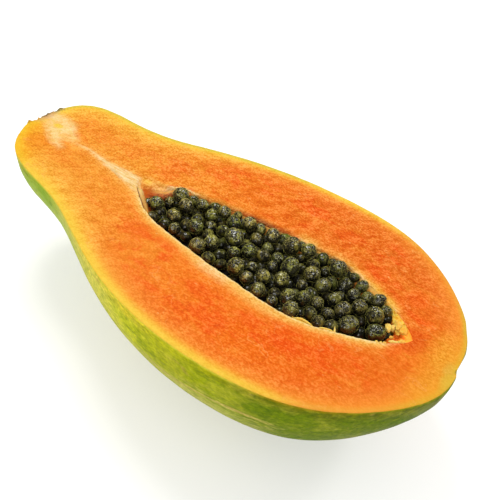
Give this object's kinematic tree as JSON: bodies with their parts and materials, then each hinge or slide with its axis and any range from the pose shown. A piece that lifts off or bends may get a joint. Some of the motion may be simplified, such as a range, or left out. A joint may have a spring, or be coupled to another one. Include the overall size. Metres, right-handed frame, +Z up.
{
  "type": "papaya half",
  "caption": "Ripe papaya cut in half lengthwise, lying on its green skin with the orange cut face up and dark seeds in the cavity.",
  "frame": {"origin": "on the small flat spot the half rests on, below the middle of its box", "axes": "+X along the fruit from the stem end to the blossom end, +Z up out of the cut face"},
  "size_m": [0.23, 0.1301, 0.067],
  "materials": {
    "flesh_and_skin": "moist orange flesh with a smooth waxy green skin",
    "seed_bed": "wet dark jelly",
    "seed": "wet olive-black jelly coat"
  },
  "bodies": {
    "root": {"papaya_half": "flesh_and_skin", "seed_bed": "seed_bed", "seed_01": "seed", "seed_02": "seed", "seed_03": "seed", "seed_04": "seed", "seed_05": "seed", "seed_06": "seed", "seed_07": "seed", "seed_08": "seed", "seed_09": "seed", "seed_10": "seed", "seed_11": "seed", "seed_12": "seed", "seed_13": "seed", "seed_14": "seed", "seed_15": "seed", "seed_16": "seed", "seed_17": "seed", "seed_18": "seed", "seed_19": "seed", "seed_20": "seed", "seed_21": "seed", "seed_22": "seed", "seed_23": "seed", "seed_24": "seed", "seed_25": "seed", "seed_26": "seed", "seed_27": "seed", "seed_28": "seed", "seed_29": "seed", "seed_30": "seed", "seed_31": "seed", "seed_32": "seed", "seed_33": "seed", "seed_34": "seed", "seed_35": "seed", "seed_36": "seed", "seed_37": "seed", "seed_38": "seed", "seed_39": "seed", "seed_40": "seed", "seed_41": "seed", "seed_42": "seed", "seed_43": "seed", "seed_44": "seed", "seed_45": "seed", "seed_46": "seed", "seed_47": "seed", "seed_48": "seed", "seed_49": "seed", "seed_50": "seed", "seed_51": "seed", "seed_52": "seed", "seed_53": "seed", "seed_54": "seed", "seed_55": "seed", "seed_56": "seed"}
  },
  "joints": []
}
